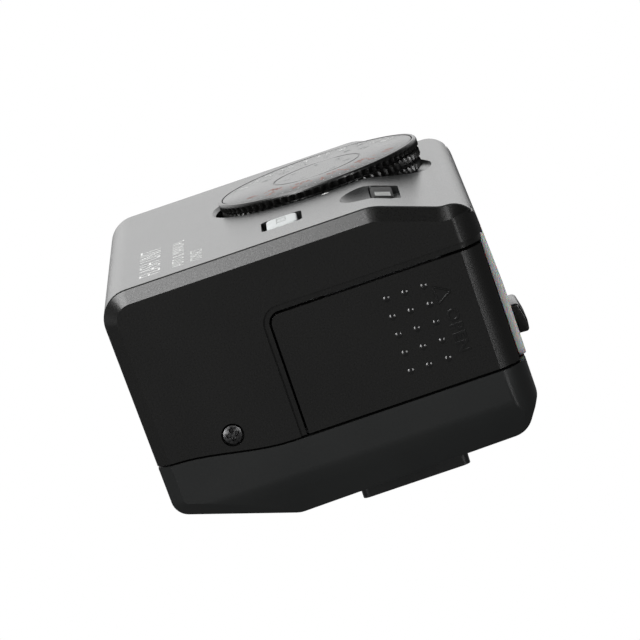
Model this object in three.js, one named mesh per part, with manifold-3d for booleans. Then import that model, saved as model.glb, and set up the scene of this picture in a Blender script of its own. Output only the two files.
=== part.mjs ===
// Compact speedlight flash with a camera-shoe foot.
// Millimetres, +Z up. The flash window faces -Y and the battery door is on the -X side.
// Everything is drawn about the centre of the foot's underside, and the last line of the
// assembly shifts it so that the origin is the centre of the bounding box's underside.

import * as THREE from 'three';
import { mergeVertices } from 'three/addons/utils/BufferGeometryUtils.js';
import Module from 'manifold-3d';

const wasm = await Module();
wasm.setup();

// ---------------------------------------------------------------- driving dimensions

const HALF_WIDTH = 32.6;        // body half width along X
const REAR_Y = 28.95;           // back face
const FRONT_Y = -17.5;          // front face
const TOP_Z = 37.75;            // flat top
const HOOD_Z = 35.0;            // lowered front part of the top
const BOTTOM_Z = 5.3;           // underside of the body
const WALL = 1.7;               // casing wall
const EDGE_BEVEL = 1.6;         // bevel that runs round each side face
const CORNER_R = 4.2;           // upright front corners
const SEAM = 0.25;              // gap between casing pieces
const SIDE_SEAM_X = HALF_WIDTH - EDGE_BEVEL;
const CORNER_BLOCK = { inner: 27.9, rear: -12.9, top: 33.2 };
const SEAM_LOW_Z = 14.2;        // seam over the bottom cover, front part
const SEAM_RISE = 1.9;          // how far that seam climbs towards the back
const SEAM_RISE_FROM_Y = 12;
const SEAM_RISE_TO_Y = 26.5;

const DIAL = { x: 7.3, y: -0.4, r: 13.2, top: 38.95, bottom: 35.05, grooveR: 12.5, taper: 0.15 };
const DIAL_TIERS = { count: 3, pitch: 1.3, height: 1.08 };
const DIAL_RIM = { width: 0.35, drop: 0.6 };
const DIAL_FACE = { r: 12.6, recessR: 12.72, recess: 0.4, thick: 0.35 };
const DIAL_POCKET = { r: 14.0, floor: 34.6, bossR: 14.7, bossBottom: 33.0, bossTop: 37, chamfer: 0.4 };
const SPINDLE = { r: 2.5, bottom: 31.6, clearance: 0.5 };
const ENCODER = { half: 6.0, z0: 31.3, z1: 32.7, clearance: 0.3 };

const BUTTON = { x: -18.7, y: 5.2, w: 7.0, d: 3.9, r: 0.8, top: 37.95 };
const BUTTON_FLANGE = { left: 4.4, right: 3.8, half: 3.0, z0: 35.3, z1: 35.75 };
const BUTTON_HOLE = { w: 7.8, d: 5.2, r: 0.9 };
const TACT_SWITCH = { half: 3.0, z0: 31.3, z1: 34.5 };

// The slider's pocket leaves 2 mm of travel towards +X.
const SLIDER = { x0: -23.6, x1: -15.0, y0: -8.7, y1: -6.1, rearTop: 37.75, frontTop: 36.95 };
const SLIDER_STEM = [-20.7, -18.4, -7.8, -7.0, 33.7, 36.5];
const SLIDER_SLOT = [-21.2, -15.6, -8.1, -6.7, 30, 40];
const SLIDER_BOSS = [-25.0, -11.6, -10.4, -4.2, 34.1, 36.4];
const SLIDER_POCKET = { x0: -23.9, x1: -12.7, y0: -9.5, y1: -5.9, r: 0.5, floor: 35.6 };
const SLIDE_SWITCH = [-22.5, -14.2, -9.4, -5.4, 31.3, 33.4];
const DISH = { rx: 6.2, ry: 3.9, rz: 2.5, above: 0.9 };

const WINDOW = { half: 27.75, z0: 13.6, z1: 31.5 };
const BEZEL = { half: 27.2, z0: 14.35, z1: 31.25, front: -16.6, back: -13.6 };
const EAR = { front: -17.4, z0: 29.9 };
const LENS = { half: 25.0, z0: 15.8, z1: 29.2, r: 1.2, front: -16.4, back: -15.4 };
const PANEL = { half: 26.0, z0: 13.85, r: 1.2, front: -17.8, topFront: -17.45, back: -16.85 };
const PANEL_TAPER_Z = 23.0;     // above this the panel's face leans back to the hinge
const PANEL_HINGE = { y: -17.0, z: 30.5, beadR: 0.45, boreR: 0.3, rodR: 0.22 };
const TUBE = { y: -13.7, z: 22.5, r: 1.0, half: 24.2 };
const BOOT = { inner: 22.3, outer: 24.9, r: 1.45 };
const REFLECTOR = { half: 22, backY: -12.0, throatHalf: 2.7, frontY: -14.9, mouthHalf: 6.6, sheet: 0.4 };
const TAB = { half: 3.85, z0: 12.5, z1: 16.35, tip: -19.55, tipZ: 13.8, topBack: 0.6, lowBack: 0.25 };

const DOOR = { y0: -16.75, y1: 9.9, z0: 14.4, z1: 29.3, innerX: -28.6, cornerR: 1.2 };
const DOOR_GAP = 0.3;
const DOOR_RIM = { width: 0.75, depth: 0.35 };
const DOOR_HINGE = { x: -30.0, y: -14.6, pinR: 0.5, boreR: 0.6, barrelR: 1.1, reliefR: 1.35 };
const CARRIER = { z0: 25.7, z1: 28.4, rearY: -2.0 };

const CRADLE = [-29.3, 17.6, -11.7, 10.5, 13.7, 30.0];
const CRADLE_RAIL = [-30.6, -29.3, -11.7, 3.0, 28.9, 29.9];
const CRADLE_FINGER_GAP = [-40, -20, -2.6, 0.6, 19.0, 24.0];
const CRADLE_BORE_END = 16.6;
const PLATE_CONTACT = [16.0, 16.4, -8.2, -3.0, 17.2, 22.4];
const SPRING = { x: 15.15, turns: 2.5, pitch: 0.42, r0: 2.0, r1: 4.0, wire: 0.3 };
const BRIDGE = [-30.75, -30.35, -8.2, 7.2, 19.6, 23.4];

const CELL = { r: 5.25, x0: -28.7, x1: 14.8, nubR: 1.9, nub: 1.0, boreR: 5.5 };
const CELL_CENTRES = { cell_front: [-5.6, 19.8], cell_rear: [4.4, 23.9] };

const FOOT = { w: 18.6, d: 14.0, t: 2.0, r: 0.9 };
const NECK = { halfX: 6.2, halfY: 6.3, r: 0.6, padTop: 2.3, gap: 0.02 };
const CENTRE_CONTACT = { r: 1.5, tipHeight: 1.6, stemR: 1.0 };
const PIN = { r: 0.55, y: 2.4, xs: [-4.5, -1.5, 1.5, 4.5] };
const CONTACT_TOP_Z = 8.2;
const RUNNING_GAP = 0.2;

const SIDE_SCREW = { y: 18.6, z: 17.2, headR: 1.2, shankR: 0.75 };
const BOTTOM_SCREWS = [[-22, 10], [22, 10]];
const FOOT_SCREWS = [[-4.6, -4.6], [4.6, -4.6], [-4.6, 5.0], [4.6, 5.0]];

const SENSOR = { x: -26.5, y: -15.75, z: 7.43, r: 0.9, tilt: 34 };

// Inner parts drawn as boxes are [x0, x1, y0, y1, z0, z1].
const DIVIDER = [-29.5, 29.5, 11.2, 12.6, 11.4, 32.7];
const DIVIDER_WIRE_GAP = [-12, 12, 10, 14, 10, 16.5];
const SCREW_BOSS = { inner: 25.4, outer: 30.6, y0: 12.6, y1: 20.8, z0: 15.9, z1: 19.2 };
const MAIN_BOARD = [-28, 28, -12.5, 10.5, 9.4, 10.6];
const CONTROL_BOARD = [-26, 20, -10.5, 10.0, 30.3, 31.2];
const CAPACITOR = { y: 19.6, z: 27.0, r: 6.5, x0: -24, x1: 14 };
const TRIGGER_COIL = { y: 19.5, z: 16.2, r: 2.6, x0: -15, x1: -5 };
const TRANSFORMER = [3, 17, 14, 25.4, 11.4, 20.2];
const TRANSFORMER_WINDOW = [5, 15, 13, 27, 13.4, 18.2];
const WINDING = [5.3, 14.7, 14.4, 25.0, 13.7, 17.9];

const FAR = 40;                 // past the body on every side, for cutting tools

// Corners of the body seen from the side as [y, z, radius], anticlockwise.
const SIDE_CORNERS = [
  [-17.5, 9.6, 1.6],
  [-14.9, 5.75, 3.0],
  [14.0, BOTTOM_Z, 3.0],
  [28.25, 9.95, 2.2],
  [REAR_Y, TOP_Z, 3.7],
  [-5.8, TOP_Z, 6.0],
  [-13.6, HOOD_Z, 3.0],
  [-17.35, HOOD_Z, 3.1],
];

// ---------------------------------------------------------------- materials

const paint = (color, roughness, metalness = 0) =>
  new THREE.MeshStandardMaterial({ color, roughness, metalness });

const satinBlack = paint(0x1c1c1b, 0.45);
const coverBlack = paint(0x262928, 0.5);
const platePaint = paint(0x232423, 0.35, 0.4);
const innerPlastic = paint(0x303336, 0.7);
const milkyPlastic = paint(0xe8e8e4, 0.4);
const clearPlastic = paint(0xdfe6ea, 0.1);
const metal = paint(0xb8b8b4, 0.3, 0.9);
const gold = paint(0xc9a04a, 0.3, 0.9);
const darkScrew = paint(0x45454a, 0.35, 0.9);
const boardGreen = paint(0x1e4a34, 0.6);
const copper = paint(0x9c5a32, 0.4, 0.7);
const cellJacket = paint(0x4a5560, 0.35, 0.5);
const silicone = paint(0xd8d4c8, 0.7);
const sleeve = paint(0x20242a, 0.35);
const sensorRed = paint(0x2a0d0d, 0.15);

// ---------------------------------------------------------------- solids

function solid(geometry) {
  const bare = geometry.index ? geometry.toNonIndexed() : geometry.clone();
  bare.deleteAttribute('normal');
  bare.deleteAttribute('uv');
  const merged = mergeVertices(bare, 1e-5);
  const vertProperties = new Float32Array(merged.attributes.position.array);
  const triVerts = new Uint32Array(merged.index.array);
  return new wasm.Manifold(new wasm.Mesh({ numProp: 3, vertProperties, triVerts }));
}

function geometryOf(body) {
  const mesh = body.getMesh();
  const geometry = new THREE.BufferGeometry();
  const positions = new Float32Array(mesh.vertProperties);
  geometry.setAttribute('position', new THREE.BufferAttribute(positions, 3));
  geometry.setIndex(new THREE.BufferAttribute(new Uint32Array(mesh.triVerts), 1));
  geometry.computeVertexNormals();
  return geometry;
}

function box(x0, x1, y0, y1, z0, z1) {
  const geometry = new THREE.BoxGeometry(x1 - x0, y1 - y0, z1 - z0);
  geometry.translate((x0 + x1) / 2, (y0 + y1) / 2, (z0 + z1) / 2);
  return solid(geometry);
}

// A cylinder along X, Y or Z. a and b are its centre in the other two axes, in X, Y, Z order.
function rod(axis, a, b, r, from, to, segments = 24, endR = r) {
  const geometry = new THREE.CylinderGeometry(endR, r, to - from, segments);
  const middle = (from + to) / 2;
  if (axis === 'x') {
    geometry.rotateZ(-Math.PI / 2);
    geometry.translate(middle, a, b);
  } else if (axis === 'y') {
    geometry.translate(a, middle, b);
  } else {
    geometry.rotateX(Math.PI / 2);
    geometry.translate(a, b, middle);
  }
  return solid(geometry);
}

// Points of a closed outline whose edges are moved inwards by inset and whose corners are
// round. corners are [a, b, radius], anticlockwise.
function outline(corners, inset = 0, degreesPerStep = 15) {
  const count = corners.length;
  const points = [];
  const direction = (from, to) => new THREE.Vector2(to[0] - from[0], to[1] - from[1]).normalize();
  for (let i = 0; i < count; i += 1) {
    const here = corners[i];
    const before = direction(corners[(i + count - 1) % count], here);
    const after = direction(here, corners[(i + 1) % count]);
    const turn = Math.atan2(before.cross(after), before.dot(after));
    const normals = new THREE.Vector2(-before.y - after.y, before.x + after.x);
    const corner = new THREE.Vector2(here[0], here[1]);
    corner.addScaledVector(normals, inset / (1 + before.dot(after)));
    const wanted = turn > 0 ? here[2] - inset : here[2] + inset;
    if (here[2] === 0) {
      points.push(corner);
      continue;
    }
    const radius = Math.max(wanted, 0.25);
    const tangent = radius * Math.tan(Math.abs(turn) / 2);
    const side = Math.sign(turn);
    const start = corner.clone().addScaledVector(before, -tangent);
    const towardsCentre = new THREE.Vector2(-before.y, before.x).multiplyScalar(side * radius);
    const centre = start.clone().add(towardsCentre);
    const steps = Math.max(2, Math.ceil(Math.abs(turn) * 180 / Math.PI / degreesPerStep));
    for (let s = 0; s <= steps; s += 1) {
      const spoke = start.clone().sub(centre);
      points.push(spoke.rotateAround(new THREE.Vector2(), (turn * s) / steps).add(centre));
    }
  }
  return points;
}

const rectangle = (a0, a1, b0, b1, r = 0) =>
  outline([[a0, b0, r], [a1, b0, r], [a1, b1, r], [a0, b1, r]]);

// A rectangle round the centre of place, with the width, depth and corner radius of size.
const centredRectangle = (place, size) => rectangle(
  place.x - size.w / 2, place.x + size.w / 2, place.y - size.d / 2, place.y + size.d / 2, size.r,
);

// Extrudes an outline along X (points are y, z), Y (points are z, x) or Z (points are x, y).
function prism(axis, points, from, to) {
  const shape = new THREE.Shape(points);
  const geometry = new THREE.ExtrudeGeometry(shape, { depth: to - from, bevelEnabled: false });
  geometry.translate(0, 0, from);
  const x = new THREE.Vector3(1, 0, 0);
  const y = new THREE.Vector3(0, 1, 0);
  const z = new THREE.Vector3(0, 0, 1);
  const basis = { x: [y, z, x], y: [z, x, y], z: [x, y, z] }[axis];
  geometry.applyMatrix4(new THREE.Matrix4().makeBasis(...basis));
  return solid(geometry);
}

// Joins outlines of equal length, each [x, points], into one solid along X.
function loft(sections) {
  const positions = [];
  const index = [];
  const count = sections[0][1].length;
  for (const [x, points] of sections) {
    for (const p of points) positions.push(x, p.x, p.y);
  }
  for (let s = 0; s + 1 < sections.length; s += 1) {
    for (let i = 0; i < count; i += 1) {
      const a = s * count + i;
      const b = s * count + ((i + 1) % count);
      index.push(a, b, b + count, a, b + count, a + count);
    }
  }
  const cap = THREE.ShapeUtils.triangulateShape(sections[0][1], []);
  const last = (sections.length - 1) * count;
  for (const [a, b, c] of cap) {
    index.push(a, c, b, last + a, last + b, last + c);
  }
  const geometry = new THREE.BufferGeometry();
  geometry.setAttribute('position', new THREE.Float32BufferAttribute(positions, 3));
  geometry.setIndex(index);
  return solid(geometry);
}

// A turned solid about the Z axis from [radius, z] points.
const turned = (profile, segments = 32) => {
  const points = profile.map(([r, z]) => new THREE.Vector2(r, z));
  const geometry = new THREE.LatheGeometry(points, segments);
  geometry.rotateX(Math.PI / 2);
  return solid(geometry);
};

const joined = (...bodies) => bodies.reduce((whole, body) => whole.add(body));
const cutBy = (body, ...tools) => tools.reduce((left, tool) => left.subtract(tool), body);

// ---------------------------------------------------------------- casing

function bodyShape(inset) {
  const half = HALF_WIDTH - inset;
  const bevel = EDGE_BEVEL - 0.4 * inset;
  const side = loft([
    [-half, outline(SIDE_CORNERS, inset + bevel, 9)],
    [-(half - bevel), outline(SIDE_CORNERS, inset, 9)],
    [half - bevel, outline(SIDE_CORNERS, inset, 9)],
    [half, outline(SIDE_CORNERS, inset + bevel, 9)],
  ]);
  const reach = HALF_WIDTH + 0.1;
  const back = REAR_Y + 0.3;
  const planCorners = [
    [-reach, FRONT_Y, CORNER_R],
    [reach, FRONT_Y, CORNER_R],
    [reach, back, 0],
    [-reach, back, 0],
  ];
  const plan = prism('z', outline(planCorners, inset, 10), 0, 50);
  const taperTopZ = 9.7;
  const frontCorners = [
    [4.8, 30.9, 0],
    [4.8, -30.9, 0],
    [taperTopZ, -HALF_WIDTH - 0.05, 8],
    [50, -HALF_WIDTH - 0.05, 0],
    [50, HALF_WIDTH + 0.05, 0],
    [taperTopZ, HALF_WIDTH + 0.05, 8],
  ];
  const front = prism('y', outline(frontCorners, inset), -30, 40);
  return side.intersect(plan).intersect(front);
}

function seamZ(y) {
  return SEAM_LOW_Z + SEAM_RISE * THREE.MathUtils.smoothstep(y, SEAM_RISE_FROM_Y, SEAM_RISE_TO_Y);
}

// Everything under the seam, lowered by half the seam gap, or everything over it.
function besideSeam(sign) {
  const points = [new THREE.Vector2(-40, seamZ(-40) + sign * SEAM / 2)];
  for (let y = SEAM_RISE_FROM_Y; y <= SEAM_RISE_TO_Y; y += 1.45) {
    points.push(new THREE.Vector2(y, seamZ(y) + sign * SEAM / 2));
  }
  points.push(new THREE.Vector2(40, seamZ(40) + sign * SEAM / 2));
  points.push(new THREE.Vector2(40, sign * 60));
  points.push(new THREE.Vector2(-40, sign * 60));
  return prism('x', points, -40, 40);
}

const shell = bodyShape(0).subtract(bodyShape(WALL));
const windowCut = box(-WINDOW.half, WINDOW.half, -25, -13, WINDOW.z0, WINDOW.z1);
const upperShell = shell.intersect(besideSeam(1)).subtract(windowCut);
const lowerShell = shell.intersect(besideSeam(-1)).subtract(windowCut);

// Upright front corner that belongs to a side cover; grow widens it by the seam gap.
const cornerBlock = (side, grow) => sideBox(
  side, CORNER_BLOCK.inner - grow, FAR, -FAR, CORNER_BLOCK.rear + grow, 0, CORNER_BLOCK.top + grow,
);

function topCover() {
  const plateHalf = SIDE_SEAM_X - SEAM / 2;
  const plate = upperShell.intersect(box(-plateHalf, plateHalf, -FAR, FAR, 0, FAR));
  const bounded = cutBy(plate, cornerBlock(-1, SEAM), cornerBlock(1, SEAM));
  const inside = bodyShape(0.4);
  const pocket = DIAL_POCKET;
  const pocketBoss = rod('z', DIAL.x, DIAL.y, pocket.bossR, pocket.bossBottom, pocket.bossTop, 48);
  const pocketChamfer = rod(
    'z', DIAL.x, DIAL.y, pocket.r, TOP_Z - pocket.chamfer, FAR, 56,
    pocket.r + pocket.chamfer + FAR - TOP_Z,
  );
  const dish = new THREE.SphereGeometry(1, 32, 16);
  dish.scale(DISH.rx, DISH.ry, DISH.rz);
  dish.translate((SLIDER_POCKET.x0 + SLIDER_POCKET.x1) / 2, SLIDER_POCKET.y1, TOP_Z + DISH.above);
  const dishHalf = solid(dish).intersect(box(-FAR, 0, SLIDER_POCKET.y1 - 0.2, FAR, 30, FAR));
  const buttonHole = prism('z', centredRectangle(BUTTON, BUTTON_HOLE), 30, FAR);
  const sliderPocket = prism('z', rectangle(
    SLIDER_POCKET.x0, SLIDER_POCKET.x1, SLIDER_POCKET.y0, SLIDER_POCKET.y1, SLIDER_POCKET.r,
  ), SLIDER_POCKET.floor, FAR);
  const sliderBoss = box(...SLIDER_BOSS);
  const whole = joined(bounded, pocketBoss.intersect(inside), sliderBoss.intersect(inside));
  return cutBy(
    whole,
    rod('z', DIAL.x, DIAL.y, pocket.r, pocket.floor, FAR, 56),
    pocketChamfer,
    rod('z', DIAL.x, DIAL.y, SPINDLE.r + SPINDLE.clearance, 30, FAR),
    buttonHole,
    dishHalf,
    sliderPocket,
    box(...SLIDER_SLOT),
  );
}

// A cylinder along X on one side of the body, from inner out to outer.
function sideRod(side, [y, z], r, inner, outer, segments = 24) {
  const ends = [side * inner, side * outer];
  return rod('x', y, z, r, Math.min(...ends), Math.max(...ends), segments);
}

// A box on one side of the body, from inner out to outer along X.
function sideBox(side, inner, outer, y0, y1, z0, z1) {
  const ends = [side * inner, side * outer];
  return box(Math.min(...ends), Math.max(...ends), y0, y1, z0, z1);
}

function sideScrewHoles(side) {
  const place = [SIDE_SCREW.y, SIDE_SCREW.z];
  const counterbore = sideRod(side, place, SIDE_SCREW.headR + 0.2, HALF_WIDTH - 0.95, FAR);
  const clearance = sideRod(side, place, SIDE_SCREW.shankR + 0.2, SCREW_BOSS.inner, FAR);
  return counterbore.add(clearance);
}

function sideCover(side) {
  const slab = sideBox(side, SIDE_SEAM_X + SEAM / 2, FAR, -FAR, FAR, 0, FAR);
  const skin = upperShell.intersect(slab.add(cornerBlock(side, 0)));
  return skin.subtract(sideScrewHoles(side));
}

function doorSideCover() {
  const y1 = DOOR.y1 + DOOR_GAP;
  const z1 = DOOR.z1 + DOOR_GAP;
  const region = (wider) => prism('x', outline([
    [-FAR, 0, 0],
    [y1 + wider, 0, 0],
    [y1 + wider, z1 + wider, DOOR.cornerR + DOOR_GAP + wider],
    [-FAR, z1 + wider, 0],
  ]), -FAR, DOOR.innerX + 1.6);
  const opening = region(0);
  const rimBand = region(DOOR_RIM.width);
  return cutBy(sideCover(-1), opening, rimBand.subtract(bodyShape(DOOR_RIM.depth)));
}

function bottomCover() {
  const tools = [rod('z', 0, 0, CENTRE_CONTACT.stemR + 0.3, 0, 12, 16)];
  for (const x of PIN.xs) tools.push(rod('z', x, PIN.y, PIN.r + RUNNING_GAP, 0, 12, 12));
  for (const [x, y] of FOOT_SCREWS) tools.push(rod('z', x, y, 0.8, 0, 12, 12));
  for (const [x, y] of BOTTOM_SCREWS) {
    tools.push(rod('z', x, y, 0.95, 0, 14, 16));
    tools.push(rod('z', x, y, 1.4, 0, BOTTOM_Z + 0.95, 20));
  }
  tools.push(sensorSolid(SENSOR.r + 0.3, -4, 4));
  return cutBy(lowerShell, ...tools);
}

// A cylinder square to the slanted lower front of the body.
function sensorSolid(radius, from, to) {
  const geometry = new THREE.CylinderGeometry(radius, radius, to - from, 20);
  geometry.translate(0, (from + to) / 2, 0);
  geometry.rotateX(Math.PI + THREE.MathUtils.degToRad(SENSOR.tilt));
  geometry.translate(SENSOR.x, SENSOR.y, SENSOR.z);
  return solid(geometry);
}

function chassis() {
  const b = SCREW_BOSS;
  const bosses = [-1, 1].map((side) => sideBox(side, b.inner, b.outer, b.y0, b.y1, b.z0, b.z1));
  const whole = joined(box(...DIVIDER), ...bosses);
  const shank = rod('x', SIDE_SCREW.y, SIDE_SCREW.z, SIDE_SCREW.shankR + 0.15, -FAR, FAR);
  return cutBy(whole, shank, box(...DIVIDER_WIRE_GAP));
}

// ---------------------------------------------------------------- light

function bezel() {
  const frame = box(-BEZEL.half, BEZEL.half, BEZEL.front, BEZEL.back, BEZEL.z0, BEZEL.z1);
  const lensHalf = LENS.half + RUNNING_GAP;
  const hole = prism('y', rectangle(
    LENS.z0 - RUNNING_GAP, LENS.z1 + RUNNING_GAP, -lensHalf, lensHalf, LENS.r + RUNNING_GAP,
  ), -FAR, 0);
  const panelEnd = PANEL.half + 0.25;
  const ears = [-1, 1].map((side) => sideBox(
    side, panelEnd, BEZEL.half, EAR.front, BEZEL.front + 0.5, EAR.z0, BEZEL.z1,
  ));
  const h = PANEL_HINGE;
  const beadRoom = rod('x', h.y, h.z, h.beadR + RUNNING_GAP, -panelEnd, panelEnd, 20);
  const rodHole = rod('x', h.y, h.z, h.rodR + 0.04, -FAR, FAR, 16);
  return cutBy(joined(frame, ...ears), hole, beadRoom, rodHole);
}

function widePanel() {
  const zTop = PANEL_HINGE.z - 0.2;
  const plate = prism('y', outline([
    [PANEL.z0, -PANEL.half, PANEL.r],
    [zTop, -PANEL.half, 0],
    [zTop, PANEL.half, 0],
    [PANEL.z0, PANEL.half, PANEL.r],
  ]), PANEL.front, PANEL.back);
  const clear = PANEL.front - 1;
  const lean = prism('x', outline([
    [clear, PANEL_TAPER_Z, 0],
    [PANEL.front, PANEL_TAPER_Z, 0],
    [PANEL.topFront, zTop, 0],
    [PANEL.topFront, FAR, 0],
    [clear, FAR, 0],
  ]), -FAR, FAR);
  const bead = rod('x', PANEL_HINGE.y, PANEL_HINGE.z, PANEL_HINGE.beadR, -PANEL.half, PANEL.half, 20);
  const bore = rod('x', PANEL_HINGE.y, PANEL_HINGE.z, PANEL_HINGE.boreR, -FAR, FAR, 16);
  return plate.subtract(lean).add(bead).subtract(bore);
}

function pullTab() {
  const root = PANEL.front - 0.1;
  const profile = outline([
    [TAB.tip + TAB.lowBack, TAB.z0, 0.3],
    [root, TAB.z0 + 0.1, 0],
    [root, TAB.z1, 0],
    [TAB.tip + TAB.topBack, TAB.z1, 0.4],
    [TAB.tip, TAB.tipZ, 2.0],
  ], 0, 20);
  return prism('x', profile, -TAB.half, TAB.half);
}

function lens() {
  return prism('y', rectangle(LENS.z0, LENS.z1, -LENS.half, LENS.half, LENS.r), LENS.front, LENS.back);
}

// A trough of thin sheet round the tube; the inner outline stands forward by the sheet.
function reflector() {
  const r = REFLECTOR;
  const trough = (forward, narrower, radius) => outline([
    [r.frontY - forward, TUBE.z - r.mouthHalf + narrower / 2, 0],
    [r.backY - forward, TUBE.z - r.throatHalf + narrower, radius],
    [r.backY - forward, TUBE.z + r.throatHalf - narrower, radius],
    [r.frontY - forward, TUBE.z + r.mouthHalf - narrower / 2, 0],
  ]);
  const outer = prism('x', trough(0, 0, 1.5), -r.half, r.half);
  return outer.subtract(prism('x', trough(r.sheet, 0.2, 1.2), -r.half - 1, r.half + 1));
}

function tubeBoot(side) {
  const place = [TUBE.y, TUBE.z];
  const boot = sideRod(side, place, BOOT.r, BOOT.inner, BOOT.outer, 20);
  return boot.subtract(sideRod(side, place, TUBE.r + 0.1, 0, TUBE.half + 0.1, 16));
}

// ---------------------------------------------------------------- battery compartment

function cradle() {
  const block = box(...CRADLE).add(box(...CRADLE_RAIL));
  const bores = Object.values(CELL_CENTRES).map(
    ([y, z]) => rod('x', y, z, CELL.boreR, -FAR, CRADLE_BORE_END, 40),
  );
  return cutBy(block, ...bores, box(...CRADLE_FINGER_GAP));
}

function cell(y, z, nubFirst) {
  const body = rod('x', y, z, CELL.r, CELL.x0, CELL.x1, 32);
  const nub = nubFirst
    ? rod('x', y, z, CELL.nubR, CELL.x0 - CELL.nub, CELL.x0 + 1, 20)
    : rod('x', y, z, CELL.nubR, CELL.x1 - 1, CELL.x1 + CELL.nub, 20);
  return body.add(nub);
}

function springContact() {
  const [y, z] = CELL_CENTRES.cell_rear;
  const s = SPRING;
  const points = [];
  for (let i = 0; i <= 40; i += 1) {
    const t = i / 40;
    const angle = t * s.turns * 2 * Math.PI;
    const radius = THREE.MathUtils.lerp(s.r0, s.r1, t);
    const across = y + radius * Math.cos(angle);
    const up = z + radius * Math.sin(angle);
    points.push(new THREE.Vector3(s.x + s.pitch * s.turns * t, across, up));
  }
  const extrudePath = new THREE.CatmullRomCurve3(points);
  const wire = new THREE.Shape(rectangle(-s.wire / 2, s.wire / 2, -s.wire / 2, s.wire / 2));
  return solid(new THREE.ExtrudeGeometry(wire, { steps: 50, extrudePath, bevelEnabled: false }));
}

function doorSkin() {
  const face = prism('x', outline([
    [DOOR.y0, DOOR.z0, 0],
    [DOOR.y1, DOOR.z0, 0],
    [DOOR.y1, DOOR.z1, DOOR.cornerR],
    [DOOR.y0, DOOR.z1, 0],
  ]), -FAR, DOOR.innerX);
  return shell.intersect(face);
}

function batteryDoor() {
  const h = DOOR_HINGE;
  const knuckle = rod('z', h.x, h.y, h.barrelR, DOOR.z0 + 0.8, CARRIER.z0 - 0.3);
  const pinBore = rod('z', h.x, h.y, h.boreR, DOOR.z0 + 0.5, DOOR.z1 - 0.5);
  const relief = rod('z', h.x, h.y, h.reliefR, CARRIER.z0 - 0.3, CARRIER.z1 + 0.3);
  return cutBy(doorSkin().add(knuckle), pinBore, relief);
}

function doorCarrier() {
  const h = DOOR_HINGE;
  const barrel = rod('z', h.x, h.y, h.barrelR, CARRIER.z0, CARRIER.z1);
  const arm = box(-30.6, -29.6, h.y, CARRIER.rearY, CARRIER.z0, CARRIER.z1);
  return barrel.add(arm).subtract(rod('z', h.x, h.y, h.boreR, 20, 35));
}

function bridgeContact() {
  const strip = box(...BRIDGE);
  const [frontY, frontZ] = CELL_CENTRES.cell_front;
  const [rearY, rearZ] = CELL_CENTRES.cell_rear;
  const frontBump = rod('x', frontY, frontZ + 0.6, 1.8, -30.5, -28.95, 20, 1.2);
  const rearBump = rod('x', rearY, rearZ - 1.4, 1.8, -30.5, -29.95, 20, 1.4);
  return joined(strip, frontBump, rearBump);
}

// ---------------------------------------------------------------- controls

function dialKnob() {
  const profile = [[0, DIAL.bottom]];
  for (let i = 0; i + 1 < DIAL_TIERS.count; i += 1) {
    const z0 = DIAL.bottom + i * DIAL_TIERS.pitch;
    const z1 = z0 + DIAL_TIERS.height;
    const r = DIAL.r - DIAL.taper * (DIAL_TIERS.count - 1 - i);
    profile.push([r, z0], [r, z1], [DIAL.grooveR, z1], [DIAL.grooveR, z0 + DIAL_TIERS.pitch]);
  }
  const topTierZ = DIAL.bottom + (DIAL_TIERS.count - 1) * DIAL_TIERS.pitch;
  const recessZ = DIAL.top - DIAL_FACE.recess;
  profile.push([DIAL.r, topTierZ], [DIAL.r, DIAL.top - DIAL_RIM.drop]);
  profile.push([DIAL.r - DIAL_RIM.width, DIAL.top]);
  profile.push([DIAL_FACE.recessR, DIAL.top], [DIAL_FACE.recessR, recessZ], [0, recessZ]);
  return turned(profile, 48).translate([DIAL.x, DIAL.y, 0]);
}

function lampButton() {
  const f = BUTTON_FLANGE;
  const cap = prism('z', centredRectangle(BUTTON, BUTTON), f.z0, BUTTON.top);
  const { x, y } = BUTTON;
  return cap.add(box(x - f.left, x + f.right, y - f.half, y + f.half, f.z0, f.z1));
}

function modeSlider() {
  const s = SLIDER;
  const head = prism('x', outline([
    [s.y0, SLIDER_POCKET.floor + 0.25, 0],
    [s.y1, SLIDER_POCKET.floor + 0.25, 0],
    [s.y1, s.rearTop, 0.3],
    [s.y0, s.frontTop, 0.3],
  ]), s.x0, s.x1);
  return head.add(box(...SLIDER_STEM));
}

// ---------------------------------------------------------------- foot and screws

const neckOutline = () => rectangle(-NECK.halfX, NECK.halfX, -NECK.halfY, NECK.halfY, NECK.r);

// The plate that slides into the shoe, with a low pad that the neck stands on.
function footPlate() {
  const flat = prism('z', rectangle(
    -FOOT.w / 2, FOOT.w / 2, -FOOT.d / 2, FOOT.d / 2, FOOT.r,
  ), 0, FOOT.t);
  const plate = flat.add(prism('z', neckOutline(), 1, NECK.padTop));
  const tools = [rod('z', 0, 0, CENTRE_CONTACT.r + RUNNING_GAP, -1, 3, 24)];
  for (const x of PIN.xs) tools.push(rod('z', x, PIN.y, PIN.r + RUNNING_GAP, -1, 3, 12));
  for (const [x, y] of FOOT_SCREWS) {
    tools.push(rod('z', x, y, 0.8, -1, 3, 16));
    tools.push(rod('z', x, y, 1.3, -1, 0.95, 20));
  }
  return cutBy(plate, ...tools);
}

function footNeck() {
  const block = prism('z', neckOutline(), NECK.padTop + NECK.gap, BOTTOM_Z - NECK.gap);
  const tools = [rod('z', 0, 0, CENTRE_CONTACT.r + RUNNING_GAP, 0, 6, 24)];
  for (const x of PIN.xs) tools.push(rod('z', x, PIN.y, PIN.r + RUNNING_GAP, 0, 6, 12));
  for (const [x, y] of FOOT_SCREWS) tools.push(rod('z', x, y, 0.8, 0, 6, 16));
  return cutBy(block, ...tools);
}

function centreContact() {
  const tip = rod('z', 0, 0, CENTRE_CONTACT.r, 0, CENTRE_CONTACT.tipHeight, 24);
  return tip.add(rod('z', 0, 0, CENTRE_CONTACT.stemR, 1, CONTACT_TOP_Z, 16));
}

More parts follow.
